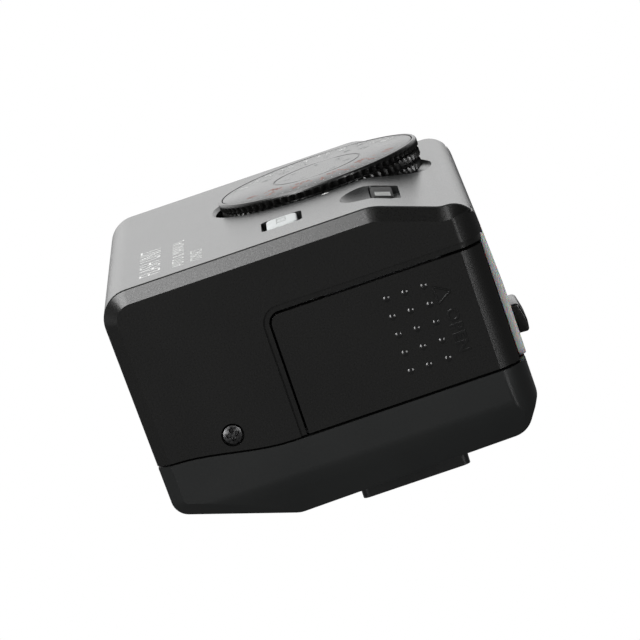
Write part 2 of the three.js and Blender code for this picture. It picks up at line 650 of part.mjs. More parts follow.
// A screw along an axis: head from headFrom to headTo, shank on to tip, with a cross recess.
function screw(axis, a, b, headR, shankR, outer, under, tip) {
  const head = rod(axis, a, b, headR, Math.min(outer, under), Math.max(outer, under), 20);
  const middle = (outer + under) / 2;
  const shank = rod(axis, a, b, shankR, Math.min(middle, tip), Math.max(middle, tip), 12);
  const into = Math.sign(under - outer) * 0.35;
  const d0 = Math.min(outer - into, outer + into);
  const d1 = Math.max(outer - into, outer + into);
  const long = headR * 0.62;
  const thin = headR * 0.15;
  const slot = (u, v) => {
    const across = [a - u, a + u, b - v, b + v];
    return axis === 'x' ? box(d0, d1, ...across) : box(...across, d0, d1);
  };
  return cutBy(head.add(shank), slot(long, thin), slot(thin, long));
}

// ---------------------------------------------------------------- assembly

const flash = new THREE.Group();
const drawn = new THREE.Group();

function add(name, body, material) {
  const mesh = new THREE.Mesh(geometryOf(body), material);
  mesh.name = name;
  drawn.add(mesh);
}

add('top_cover', topCover(), platePaint);
add('side_cover_door', doorSideCover(), satinBlack);
add('side_cover_plain', sideCover(1), satinBlack);
add('bottom_cover', bottomCover(), coverBlack);
add('inner_chassis', chassis(), innerPlastic);

add('front_bezel', bezel(), coverBlack);
add('fresnel_lens', lens(), clearPlastic);
add('wide_panel', widePanel(), milkyPlastic);
add('wide_panel_tab', pullTab(), satinBlack);
add('panel_hinge_rod', rod('x', PANEL_HINGE.y, PANEL_HINGE.z, PANEL_HINGE.rodR,
  -BEZEL.half + 0.1, BEZEL.half - 0.1, 12), metal);
add('reflector', reflector(), metal);
add('flash_tube', rod('x', TUBE.y, TUBE.z, TUBE.r, -TUBE.half, TUBE.half, 16), clearPlastic);
add('tube_boot_left', tubeBoot(-1), silicone);
add('tube_boot_right', tubeBoot(1), silicone);

add('battery_cradle', cradle(), innerPlastic);
for (const [name, [y, z]] of Object.entries(CELL_CENTRES)) {
  add(name, cell(y, z, name === 'cell_rear'), cellJacket);
}
add('spring_contact', springContact(), metal);
add('plate_contact', box(...PLATE_CONTACT), metal);
add('battery_door', batteryDoor(), satinBlack);
add('door_bridge_contact', bridgeContact(), metal);
add('door_carrier', doorCarrier(), innerPlastic);
add('door_hinge_pin', rod('z', DOOR_HINGE.x, DOOR_HINGE.y, DOOR_HINGE.pinR,
  DOOR.z0 + 0.6, DOOR.z1 - 0.6, 16), metal);

const lyingRod = ({ y, z, r, x0, x1 }) => rod('x', y, z, r, x0, x1, 32);
add('main_capacitor', lyingRod(CAPACITOR), sleeve);
add('main_board', box(...MAIN_BOARD), boardGreen);
add('control_board', box(...CONTROL_BOARD), boardGreen);
add('transformer_core', box(...TRANSFORMER).subtract(box(...TRANSFORMER_WINDOW)), sleeve);
add('transformer_winding', box(...WINDING), copper);
add('trigger_coil', lyingRod(TRIGGER_COIL), copper);

add('dial_knob', dialKnob(), satinBlack);
add('dial_face', rod('z', DIAL.x, DIAL.y, DIAL_FACE.r, DIAL.top - DIAL_FACE.thick, DIAL.top, 48),
  platePaint);
add('dial_spindle', rod('z', DIAL.x, DIAL.y, SPINDLE.r, SPINDLE.bottom, DIAL.bottom - 0.02, 24),
  metal);
const squareUnder = (place, { half, z0, z1 }) =>
  box(place.x - half, place.x + half, place.y - half, place.y + half, z0, z1);
add('dial_encoder', squareUnder(DIAL, ENCODER).subtract(
  rod('z', DIAL.x, DIAL.y, SPINDLE.r + ENCODER.clearance, 30, FAR),
), innerPlastic);
add('lamp_button', lampButton(), milkyPlastic);
add('tact_switch', squareUnder(BUTTON, TACT_SWITCH), metal);
add('mode_slider', modeSlider(), satinBlack);
add('slide_switch', box(...SLIDE_SWITCH), metal);

add('foot_plate', footPlate(), coverBlack);
add('foot_neck', footNeck(), coverBlack);
add('centre_contact', centreContact(), gold);
PIN.xs.forEach((x, i) => {
  add(`contact_pin_${i + 1}`, rod('z', x, PIN.y, PIN.r, 0, CONTACT_TOP_Z, 12), gold);
});

add('sensor_window', sensorSolid(SENSOR.r, -1.4, 0.55), sensorRed);
for (const [name, side] of [['side_screw_door', -1], ['side_screw_plain', 1]]) {
  const body = screw('x', SIDE_SCREW.y, SIDE_SCREW.z, SIDE_SCREW.headR, SIDE_SCREW.shankR,
    side * (HALF_WIDTH - 0.1), side * (HALF_WIDTH - 0.9), side * 26.5);
  add(name, body, darkScrew);
}
BOTTOM_SCREWS.forEach(([x, y], i) => {
  add(`bottom_screw_${i + 1}`, screw('z', x, y, 1.2, 0.75, BOTTOM_Z + 0.1, BOTTOM_Z + 0.9, 9.0), darkScrew);
});
FOOT_SCREWS.forEach(([x, y], i) => {
  add(`foot_screw_${i + 1}`, screw('z', x, y, 1.1, 0.6, 0.1, 0.9, 8.6), darkScrew);
});

const bounds = new THREE.Box3().setFromObject(drawn);
drawn.position.y = -(bounds.min.y + bounds.max.y) / 2;
flash.add(drawn);

export default flash;
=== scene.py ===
"""Compact speedlight flash: the surfaces, finishes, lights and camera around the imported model."""

import math

import bmesh
import bpy
import numpy as np
from mathutils import Matrix, Vector


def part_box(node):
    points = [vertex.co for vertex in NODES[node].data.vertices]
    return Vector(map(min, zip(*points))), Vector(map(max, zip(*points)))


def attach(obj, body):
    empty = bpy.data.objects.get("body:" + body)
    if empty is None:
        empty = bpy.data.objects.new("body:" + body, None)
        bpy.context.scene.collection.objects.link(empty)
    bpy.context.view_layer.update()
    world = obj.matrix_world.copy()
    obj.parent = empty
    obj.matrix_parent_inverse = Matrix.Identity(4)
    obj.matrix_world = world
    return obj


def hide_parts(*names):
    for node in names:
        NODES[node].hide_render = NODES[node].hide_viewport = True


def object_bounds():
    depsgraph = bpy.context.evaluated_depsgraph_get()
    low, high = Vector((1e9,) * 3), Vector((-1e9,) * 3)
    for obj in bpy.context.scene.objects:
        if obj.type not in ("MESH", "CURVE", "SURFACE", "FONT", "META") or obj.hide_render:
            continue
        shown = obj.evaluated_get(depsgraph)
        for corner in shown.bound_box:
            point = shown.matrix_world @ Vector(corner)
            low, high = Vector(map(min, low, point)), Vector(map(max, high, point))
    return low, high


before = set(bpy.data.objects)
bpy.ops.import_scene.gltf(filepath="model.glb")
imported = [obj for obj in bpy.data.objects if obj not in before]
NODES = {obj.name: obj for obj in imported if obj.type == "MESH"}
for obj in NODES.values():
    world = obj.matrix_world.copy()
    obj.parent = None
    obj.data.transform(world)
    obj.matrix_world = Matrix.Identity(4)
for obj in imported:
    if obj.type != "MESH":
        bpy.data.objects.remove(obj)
CAD_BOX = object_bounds()

# Shapes are worked out in millimetres about the middle of the foot's underside.
MM = 0.001
FOOT_LOW, FOOT_HIGH = (np.array(corner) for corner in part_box("foot_plate"))
FOOT_MIDDLE = np.array([*(FOOT_LOW + FOOT_HIGH)[:2] / 2, FOOT_LOW[2]])

CAMERA = {"azimuth": -88.4, "elevation": 9.25, "roll": 19.0, "lens": 275.6, "sensor": 36,
          "place": (-0.6072, -0.01644, 0.1206)}

# Sizes in millimetres.
SIDE_X = -32.6          # outer face on the battery door's side
TOP_Z = 37.75           # flat part of the top plate
TEETH = 76              # round the dial
TIER_PITCH = 1.3        # height of each of its three tiers
PROUD = 0.1             # domes, triangle and word stand this far off the battery door
INK = {"thick": 0.03, "sunk": 0.015, "edge": 0.004}     # print on the plate and the slider
DIAL_INK = {"thick": 0.02, "sunk": 0.005, "edge": 0.004}

# Distances in metres and angles in degrees for cleaning and softening meshes.
SAME_POINT = 2e-7       # points of a computed surface that are one
NO_LENGTH = 1e-8        # an edge this short is dropped
SAME_CORNER = 3e-6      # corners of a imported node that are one
FLAT_ANGLE = 0.6        # facets closer than this are one flat face
CRISP_ANGLE = 40        # edges sharper than this stay crisp on a softened node
BEVEL_ANGLE = 28        # edges sharper than this are rounded

# Input and output numbers of the colour mix node.
COLOUR_A, COLOUR_B, COLOUR_OUT = 6, 7, 2


# ------------------------------------------------------------------ finishes

def finish(name, colour, roughness, **sockets):
    """A material with one Principled shader; further sockets are given with _ for each space."""
    material = bpy.data.materials.new(name)
    material.use_nodes = True
    shader = material.node_tree.nodes["Principled BSDF"]
    shader.inputs["Base Color"].default_value = (*colour, 1)
    shader.inputs["Roughness"].default_value = roughness
    for socket, value in sockets.items():
        shader.inputs[socket.replace("_", " ")].default_value = value
    return material


def node(material, kind, inputs=(), **settings):
    """A new node with its settings and its inputs, each a number or another node's output."""
    made = material.node_tree.nodes.new(kind)
    for key, value in settings.items():
        setattr(made, key, value)
    for socket, value in dict(inputs).items():
        if isinstance(value, bpy.types.NodeSocket):
            material.node_tree.links.new(value, made.inputs[socket])
        else:
            made.inputs[socket].default_value = value
    return made


def drive(material, socket, output):
    """Feeds a shader socket from another node's output."""
    shader = material.node_tree.nodes["Principled BSDF"]
    material.node_tree.links.new(output, shader.inputs[socket])


def mottle(material, per_mm, detail=3.0, stretch=(1, 1, 1)):
    """Noise in object coordinates with per_mm features to a millimetre."""
    place = node(material, "ShaderNodeTexCoord").outputs["Object"]
    mapped = node(material, "ShaderNodeMapping", {"Vector": place, "Scale": stretch})
    return node(material, "ShaderNodeTexNoise", {
        "Vector": mapped.outputs["Vector"], "Scale": per_mm / MM, "Detail": detail,
    }).outputs["Fac"]


def spread(material, value, low, high, start=0.3, end=0.7):
    """Stretches a value from start..end to low..high."""
    return node(material, "ShaderNodeMapRange", {
        "Value": value, "From Min": start, "From Max": end, "To Min": low, "To Max": high,
    }).outputs["Result"]


def tint(material, value, dark, light):
    """Base colour between dark and light as value goes from 0.3 to 0.7."""
    mix = node(material, "ShaderNodeMix", {0: spread(material, value, 0, 1)}, data_type="RGBA")
    mix.inputs[COLOUR_A].default_value = (*dark, 1)
    mix.inputs[COLOUR_B].default_value = (*light, 1)
    drive(material, "Base Color", mix.outputs[COLOUR_OUT])


def relief(material, *layers):
    """Bump from layers of (height, depth in micrometres), one on top of another."""
    normal = None
    for height, depth in layers:
        inputs = {"Height": height, "Distance": depth * 1e-6, "Strength": 1.0}
        if normal is not None:
            inputs["Normal"] = normal
        normal = node(material, "ShaderNodeBump", inputs).outputs["Normal"]
    drive(material, "Normal", normal)


def moulded(name, dark, light, rough, grain_um, per_mm=5.0, **sockets):
    """Moulded plastic: slightly uneven colour and gloss, over a fine spark-eroded grain."""
    material = finish(name, dark, rough[0], **sockets)
    broad = mottle(material, 0.09)
    fine = mottle(material, per_mm, 4.0)
    tint(material, broad, dark, light)
    drive(material, "Roughness", spread(material, fine, *rough))
    relief(material, (fine, grain_um))
    return material


def make_finishes():
    """One material for every slot of the record, and a few for prints and inner detail."""
    made = {}
    plate = finish("plate_paint", (0.02, 0.021, 0.021), 0.3, IOR=1.55)
    fine = mottle(plate, 9.0, 3.0)
    tint(plate, mottle(plate, 0.06), (0.017, 0.018, 0.018), (0.026, 0.027, 0.027))
    drive(plate, "Roughness", spread(plate, fine, 0.25, 0.36))
    relief(plate, (fine, 1.2))
    made["plate_black"] = plate
    made["satin_black"] = moulded("satin_plastic", (0.0045, 0.0045, 0.0043),
                                  (0.006, 0.006, 0.0057), (0.26, 0.34), 2.6)
    made["cover_black"] = moulded("cover_plastic", (0.008, 0.0088, 0.0088),
                                  (0.011, 0.0118, 0.0116), (0.32, 0.4), 3.0)
    made["inner_plastic"] = moulded("inner_plastic", (0.025, 0.026, 0.028),
                                    (0.034, 0.035, 0.038), (0.5, 0.65), 6.0, 2.5)
    made["milky_plastic"] = moulded("milky_plastic", (0.84, 0.85, 0.84), (0.9, 0.9, 0.88),
                                    (0.3, 0.42), 2.0, 4.0, Subsurface_Weight=0.35,
                                    Subsurface_Scale=0.0008)
    made["clear_plastic"] = moulded("clear_acrylic", (0.93, 0.95, 0.95), (0.97, 0.98, 0.98),
                                    (0.03, 0.08), 0.4, 1.0, Transmission_Weight=0.95, IOR=1.49)
    made["tube_glass"] = moulded("tube_glass", (0.9, 0.93, 0.93), (0.96, 0.97, 0.97),
                                 (0.02, 0.06), 0.3, 0.6, Transmission_Weight=0.9, IOR=1.46)
    made["silicone"] = moulded("silicone_rubber", (0.62, 0.6, 0.54), (0.72, 0.7, 0.64),
                               (0.55, 0.7), 8.0, 2.0)
    made["bright_metal"] = brushed("bright_metal", (0.62, 0.62, 0.6), (0.76, 0.76, 0.74),
                                   (0.18, 0.34), (1, 14, 14))
    made["gold_contact"] = brushed("gold_plating", (0.78, 0.53, 0.17), (0.9, 0.66, 0.28),
                                   (0.16, 0.3), (3, 3, 1))
    made["dark_screw"] = brushed("blackened_screw", (0.05, 0.05, 0.052), (0.12, 0.12, 0.12),
                                 (0.25, 0.4), (2, 2, 2))
    made["circuit_board"] = board_finish()
    made["copper_wire"] = winding_finish()
    made["ferrite"] = moulded("ferrite", (0.03, 0.03, 0.032), (0.06, 0.06, 0.062),
                              (0.55, 0.7), 9.0, 1.5)
    made["cell_jacket"] = jacket_finish()
    made["capacitor_sleeve"] = moulded("capacitor_sleeve", (0.012, 0.014, 0.02),
                                       (0.02, 0.022, 0.03), (0.22, 0.32), 1.5, 0.8)
    made["sensor_plastic"] = moulded("sensor_filter", (0.02, 0.003, 0.003),
                                     (0.035, 0.005, 0.005), (0.05, 0.12), 0.4, 0.8)
    made["white_print"] = moulded("white_print", (0.6, 0.61, 0.6), (0.7, 0.7, 0.69),
                                  (0.4, 0.5), 1.0, 6.0)
    made["grey_print"] = moulded("grey_print", (0.2, 0.21, 0.21), (0.28, 0.29, 0.29),
                                 (0.4, 0.5), 1.0, 6.0)
    made["orange_print"] = moulded("orange_print", (0.2, 0.045, 0.02), (0.28, 0.065, 0.03),
                                   (0.45, 0.6), 1.0, 6.0)
    made["button_plastic"] = moulded("button_plastic", (0.42, 0.44, 0.44), (0.5, 0.52, 0.52),
                                     (0.4, 0.5), 1.5, 4.0)
    made["matte_black"] = moulded("matte_black", (0.007, 0.007, 0.007), (0.01, 0.01, 0.01),
                                  (0.6, 0.7), 5.0, Specular_IOR_Level=0.2)
    made["polished_black"] = moulded("polished_black", (0.006, 0.006, 0.006),
                                     (0.009, 0.009, 0.009), (0.2, 0.26), 0.5)
    made["gap_black"] = moulded("gap_black", (0.004, 0.004, 0.004), (0.006, 0.006, 0.006),
                                (0.5, 0.6), 3.0)
    return made


def brushed(name, dark, light, rough, stretch):
    """Metal with fine drawn lines across the stretched axes."""
    material = finish(name, dark, rough[0], Metallic=1.0)
    lines = mottle(material, 1.6, 4.0, stretch)
    tint(material, lines, dark, light)
    drive(material, "Roughness", spread(material, lines, *rough))
    relief(material, (lines, 1.5))
    return material


def board_finish():
    """Green solder mask with a faint pattern of copper tracks under it."""
    material = finish("solder_mask", (0.01, 0.06, 0.03), 0.3)
    place = node(material, "ShaderNodeTexCoord").outputs["Object"]
    tracks = node(material, "ShaderNodeTexBrick", {
        "Vector": place, "Scale": 260.0, "Mortar Size": 0.06, "Brick Width": 0.9,
        "Row Height": 0.28, "Color1": (0.008, 0.075, 0.035, 1), "Color2": (0.01, 0.09, 0.045, 1),
        "Mortar": (0.02, 0.16, 0.07, 1),
    })
    drive(material, "Base Color", tracks.outputs["Color"])
    relief(material, (tracks.outputs["Fac"], 18.0), (mottle(material, 2.0), 3.0))
    return material


def winding_finish():
    """Enamelled copper wire laid in turns along X."""
    material = finish("enamelled_wire", (0.5, 0.16, 0.06), 0.25, Metallic=0.8)
    place = node(material, "ShaderNodeTexCoord").outputs["Object"]
    turns = node(material, "ShaderNodeTexWave", {
        "Vector": place, "Scale": 1600.0, "Distortion": 0.4, "Detail": 1.0,
    }, bands_direction="X").outputs["Fac"]
    tint(material, turns, (0.2, 0.05, 0.02), (0.62, 0.22, 0.09))
    relief(material, (turns, 60.0))
    return material


def jacket_finish():
    """Cell jacket: slate sleeve with a copper-coloured band, bare metal at both ends."""
    material = finish("cell_jacket", (0.05, 0.07, 0.1), 0.3)
    low, high = (np.array(corner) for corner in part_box("cell_front"))
    place = node(material, "ShaderNodeTexCoord").outputs["Object"]
    along = node(material, "ShaderNodeSeparateXYZ", {"Vector": place}).outputs["X"]
    share = spread(material, along, 0, 1, float(low[0]), float(high[0]))
    bands = node(material, "ShaderNodeValToRGB", {"Fac": share})
    ramp = bands.color_ramp
    ramp.interpolation = "CONSTANT"
    ramp.elements[0].color = (0.55, 0.55, 0.54, 1)
    ramp.elements[1].position = 0.03
    ramp.elements[1].color = (0.035, 0.05, 0.075, 1)
    for position, colour in ((0.7, (0.5, 0.24, 0.09, 1)), (0.965, (0.55, 0.55, 0.54, 1))):
        ramp.elements.new(position).color = colour
    drive(material, "Base Color", bands.outputs["Color"])
    grain = mottle(material, 1.2)
    drive(material, "Roughness", spread(material, grain, 0.22, 0.36))
    relief(material, (grain, 4.0))
    return material


FINISH = make_finishes()


# ------------------------------------------------------------------ making pieces

def node_box(name):
    """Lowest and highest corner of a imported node, in the working millimetres."""
    return [(np.array(corner) - FOOT_MIDDLE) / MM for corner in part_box(name)]


def dress(piece, body, material, stands_for=()):
    """Gives a piece its finish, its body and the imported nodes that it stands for."""
    piece.data.materials.clear()
    piece.data.materials.append(FINISH[material])
    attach(piece, body)
    if stands_for:
        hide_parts(*stands_for)


def shaded(mesh, angle=38):
    """Smooth shading, with edges sharper than the angle left crisp."""
    mesh.shade_smooth()
    mesh.set_sharp_from_angle(angle=math.radians(angle))


def piece_of(name, parts, angle=38):
    """One mesh object from several (points in mm, faces), doubles merged, faces outwards."""
    mesh = bpy.data.meshes.new(name)
    offsets = np.cumsum([0] + [len(points) for points, _ in parts])
    points = np.concatenate([points for points, _ in parts]) * MM + FOOT_MIDDLE
    faces = [tuple(int(i) + int(offset) for i in face)
             for (_, some), offset in zip(parts, offsets) for face in some]
    mesh.from_pydata(points.tolist(), [], faces)
    work = bmesh.new()
    work.from_mesh(mesh)
    bmesh.ops.remove_doubles(work, verts=work.verts, dist=SAME_POINT)
    bmesh.ops.dissolve_degenerate(work, edges=work.edges, dist=NO_LENGTH)
    bmesh.ops.recalc_face_normals(work, faces=work.faces)
    work.to_mesh(mesh)
    work.free()
    mesh.update()
    shaded(mesh, angle)
    piece = bpy.data.objects.new(name, mesh)
    bpy.context.scene.collection.objects.link(piece)
    return piece


def softened(node_name, width, slot, body, segments=2):
    """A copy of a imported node, its flat facets joined and its edges rounded by width mm."""
    mesh = NODES[node_name].data.copy()
    mesh.name = node_name + "_form"
    work = bmesh.new()
    work.from_mesh(mesh)
    bmesh.ops.remove_doubles(work, verts=work.verts, dist=SAME_CORNER)
    bmesh.ops.dissolve_limit(work, angle_limit=math.radians(FLAT_ANGLE), verts=work.verts,
                             edges=work.edges)
    work.to_mesh(mesh)
    work.free()
    shaded(mesh, CRISP_ANGLE)
    piece = bpy.data.objects.new(node_name + "_form", mesh)
    bpy.context.scene.collection.objects.link(piece)
    bevel = piece.modifiers.new("edges", "BEVEL")
    bevel.width = width * MM
    bevel.segments = segments
    bevel.limit_method = "ANGLE"
    bevel.angle_limit = math.radians(BEVEL_ANGLE)
    bevel.use_clamp_overlap = True
    bevel.miter_outer = "MITER_ARC"
    weighted = piece.modifiers.new("flats", "WEIGHTED_NORMAL")
    weighted.keep_sharp = True
    dress(piece, body, slot, [node_name])


def grid_faces(rows, columns, wrap_rows=False, wrap_columns=False):
    """Quads between the neighbours of a rows by columns grid, joined round where it wraps."""
    row, column = np.meshgrid(np.arange(rows if wrap_rows else rows - 1),
                              np.arange(columns if wrap_columns else columns - 1),
                              indexing="ij")
    row_after, column_after = (row + 1) % rows, (column + 1) % columns
    corners = [row * columns + column, row * columns + column_after,
               row_after * columns + column_after, row_after * columns + column]
    return np.stack(corners, -1).reshape(-1, 4)


def rounded_outline(corners, step=9.0):
    """Closed outline through corners (a, b, radius), each corner an arc of that radius."""
    corners = np.array(corners, float)
    spots = corners[:, :2]
    before = spots - np.roll(spots, 1, axis=0)
    before /= np.linalg.norm(before, axis=1, keepdims=True)
    after = np.roll(before, -1, axis=0)
    points = []
    for spot, radius, inward, outward in zip(spots, corners[:, 2], before, after):
        cross = inward[0] * outward[1] - inward[1] * outward[0]
        turn = math.atan2(cross, inward @ outward)
        if radius == 0:
            points.append(spot[None])
            continue
        start = spot - inward * radius * math.tan(abs(turn) / 2)
        centre = start + math.copysign(radius, turn) * np.array([-inward[1], inward[0]])
        angles = np.linspace(0, turn, max(3, int(abs(math.degrees(turn)) / step) + 1))
        spoke = start - centre
        points.append(centre + np.stack([spoke[0] * np.cos(angles) - spoke[1] * np.sin(angles),
                                         spoke[0] * np.sin(angles) + spoke[1] * np.cos(angles)],
                                        -1))
    return np.concatenate(points)


def rounded_rectangle(a0, a1, b0, b1, radius, step=9.0):
    """Anticlockwise rectangle with equal round corners."""
    return rounded_outline([(a0, b0, radius), (a1, b0, radius), (a1, b1, radius),
                            (a0, b1, radius)], step)


def slab(outline, low, high, edge, axes="xyz", crown=0.0, steps=4):
    """The outline carried from low to high, both rims turned in by quarter circles of radius
    edge, and each end closed towards its middle; the high end rises by crown at the middle.
    axes says which of x, y and z the outline's two directions and the height are."""
    tangent = np.roll(outline, -1, axis=0) - np.roll(outline, 1, axis=0)
    tangent /= np.linalg.norm(tangent, axis=1, keepdims=True)
    outward = np.stack([tangent[:, 1], -tangent[:, 0]], -1)
    middle = outline.mean(0)
    sign = 1 if high > low else -1
    swing = np.linspace(0, math.pi / 2, steps + 1)
    inset = edge * (1 - np.sin(swing))
    rise = edge * (1 - np.cos(swing))
    rows = [(1.0, 0.0, low)] if edge == 0 else []
    rows += [(1.0, inset[i], low + sign * rise[i]) for i in range(len(swing))]
    rows += [(1.0, inset[i], high - sign * rise[i]) for i in range(len(swing))[::-1]]
    shrink = [0.85, 0.65, 0.4, 0.15, 0.0] if crown else [0.0]
    rows = [(0.0, 0.0, low)] + rows
    rows += [(share, edge, high + sign * crown * (1 - share * share)) for share in shrink]
    flat = np.array([middle + share * (outline - outward * back - middle)
                     for share, back, _ in rows])
    heights = np.array([height for _, _, height in rows])
    grid = np.concatenate([flat, np.broadcast_to(heights[:, None, None],
                                                 flat.shape[:2] + (1,))], -1)
    points = np.empty_like(grid)
    points[..., ["xyz".index(axis) for axis in axes]] = grid
    return points.reshape(-1, 3), grid_faces(len(rows), len(outline), wrap_columns=True)


def turned(profile, centre, axis="z", segments=48, push=None):
    """A profile of (radius, height) turned round an axis; push(radius, height, angle) gives the
    change of radius and of height at each point. The profile starts and ends on the axis, or
    ends where it starts."""
    profile = np.array(profile, float)
    angle = np.arange(segments) * 2 * math.pi / segments
    radius, angles = np.meshgrid(profile[:, 0], angle, indexing="ij")
    height = np.broadcast_to(profile[:, 1:2], radius.shape).copy()
    if push is not None:
        more_radius, more_height = push(radius, height, angles)
        radius, height = radius + more_radius, height + more_height
    first, second = radius * np.cos(angles), radius * np.sin(angles)
    order = {"z": (first, second, height), "x": (height, first, second),
             "y": (second, height, first)}[axis]
    points = np.stack(order, -1) + np.array(centre)
    return points.reshape(-1, 3), grid_faces(*radius.shape, wrap_columns=True)


def sheet(front, back):
    """A closed sheet between two facing grids of points: each row runs along the front and
    returns along the back, and the first and last rows are closed by quads between the two."""
    grid = np.concatenate([front, back[:, ::-1]], axis=1)
    rows, columns = grid.shape[:2]
    start = np.arange(columns // 2 - 1)
    ends = [np.stack([row + start, row + start + 1, row + columns - 2 - start,
                      row + columns - 1 - start], -1) for row in (0, (rows - 1) * columns)]
    sides = grid_faces(rows, columns, wrap_columns=True)
    return grid.reshape(-1, 3), np.concatenate([sides, *ends])


def tube(path, radius, sides=10):
    """A round wire of that radius along a path, its section square to the path throughout."""
    path = np.array(path, float)
    along = np.gradient(path, axis=0)
    along /= np.linalg.norm(along, axis=1, keepdims=True)
    guide = np.broadcast_to([1.0, 0.05, 0.02], along.shape)
    first = np.cross(along, guide)
    first /= np.linalg.norm(first, axis=1, keepdims=True)
    second = np.cross(along, first)
    angle = np.arange(sides) * 2 * math.pi / sides
    ring = (first[:, None] * np.cos(angle)[:, None] + second[:, None] * np.sin(angle)[:, None])
    grid = np.concatenate([path[:1, None] + 0 * ring[:1], path[:, None] + radius * ring,
                           path[-1:, None] + 0 * ring[-1:]])
    return grid.reshape(-1, 3), grid_faces(len(grid), sides, wrap_columns=True)


def lettering(text, thick, soft, thin):
    """Letters as (points in mm, faces), one unit high, standing on 0, starting at 0; a negative
    thin takes that much off their strokes."""
    curve = bpy.data.curves.new("letters", "FONT")
    curve.body = text
    curve.extrude = thick / 2
    curve.offset = thin
    curve.space_character = 1.0 - 12 * thin
    curve.bevel_depth = soft
    curve.bevel_resolution = 1
    curve.resolution_u = 4
    words = bpy.data.objects.new("letters", curve)
    bpy.context.scene.collection.objects.link(words)
    bpy.context.view_layer.update()
    graph = bpy.context.evaluated_depsgraph_get()
    mesh = bpy.data.meshes.new_from_object(words.evaluated_get(graph))
    points = np.empty(len(mesh.vertices) * 3)
    mesh.vertices.foreach_get("co", points)
    points = points.reshape(-1, 3)
    faces = [tuple(face.vertices) for face in mesh.polygons]
    points[:, :2] -= points[:, :2].min(0)
    bpy.data.objects.remove(words)
    bpy.data.meshes.remove(mesh)
    bpy.data.curves.remove(curve)
    return points, faces


def fitted(text, width, height, thick, soft=0.0, thin=-0.012):
    """Lettering stretched to a width and a height, its underside at 0."""
    points, faces = lettering(text, thick / height, soft / height, thin)
    size = points.max(0) - points.min(0)
    points[:, 2] -= points[:, 2].min()
    scale = np.array([width / size[0], height / size[1], thick / size[2]])
    return points * scale, faces


def laid(part, origin, right, up, out):
    """Puts a flat part at origin with its own x, y and z along right, up and out."""
    points, faces = part
    return points @ np.array([right, up, out], float) + np.array(origin), faces


# ------------------------------------------------------------------ casing

def casing():
    """The shells, the door, the foot and the bezel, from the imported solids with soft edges."""
    softened("top_cover", 0.1, "plate_black", "root")
    softened("side_cover_door", 0.16, "satin_black", "root", 3)
    softened("side_cover_plain", 0.16, "satin_black", "root", 3)
    softened("bottom_cover", 0.3, "cover_black", "root", 3)
    softened("front_bezel", 0.12, "cover_black", "root")
    softened("battery_door", 0.12, "satin_black", "door", 3)
    softened("foot_plate", 0.6, "cover_black", "root", 4)
    softened("foot_neck", 0.15, "cover_black", "root")
    softened("battery_cradle", 0.2, "inner_plastic", "root")
    softened("inner_chassis", 0.2, "inner_plastic", "root")
    softened("door_carrier", 0.1, "inner_plastic", "door_slide_block")
    softened("door_bridge_contact", 0.06, "bright_metal", "door")


def door_marks():
    """Low domes in five rows of three, a triangle that points to the front, and the word
    beside it, all standing off the battery door. A dome's height falls with its radius
    squared."""
    columns, top_row, row_pitch = [-4.0, -6.3, -8.7], 26.8, 2.3
    across, down = np.meshgrid(columns, top_row - row_pitch * np.arange(5), indexing="ij")
    radius, root = 0.42, -0.1
    reach = np.linspace(0, 1, 7)
    cap = [(radius * r, PROUD * (1 - r * r)) for r in reach] + [(radius, root), (0, root)]
    dome = turned(cap, (0, 0, 0), segments=20)
    outward = ((0, -1, 0), (0, 0, 1), (-1, 0, 0))
    domes = [laid(dome, (SIDE_X, y, z), *outward) for y, z in zip(across.ravel(), down.ravel())]
    dress(piece_of("door_grip_domes", domes, 60), "door", "polished_black")

    tip, base, spread_z, mid_z, wide = -11.55, -9.65, 1.1, 25.3, 0.26
    outer = np.array([(base, mid_z + spread_z), (tip, mid_z), (base, mid_z - spread_z)])
    centre = outer.mean(0)
    sides = []
    for start, end in zip(outer, np.roll(outer, -1, axis=0)):
        run = (end - start) / np.linalg.norm(end - start)
        side = np.array([run[1], -run[0]]) * wide / 2
        side *= math.copysign(1, side @ (start - centre))
        bar = np.array([start - side, end - side, end + side, start + side])
        turn = np.cross(bar[1] - bar[0], bar[2] - bar[0])
        bar = bar if turn > 0 else bar[::-1]
        sides.append(slab(bar, SIDE_X + PROUD, SIDE_X - PROUD, 0.09, "yzx", steps=3))
    word_long, word_tall, word_y, word_z = 5.4, 1.6, -10.1, 23.2
    word = fitted("OPEN", word_long, word_tall, 2 * PROUD, 0.07)
    sides.append(laid(word, (SIDE_X + PROUD, word_y, word_z), (0, 0, -1), (0, -1, 0),
                      (-1, 0, 0)))
    dress(piece_of("door_open_mark", sides, 30), "door", "polished_black")


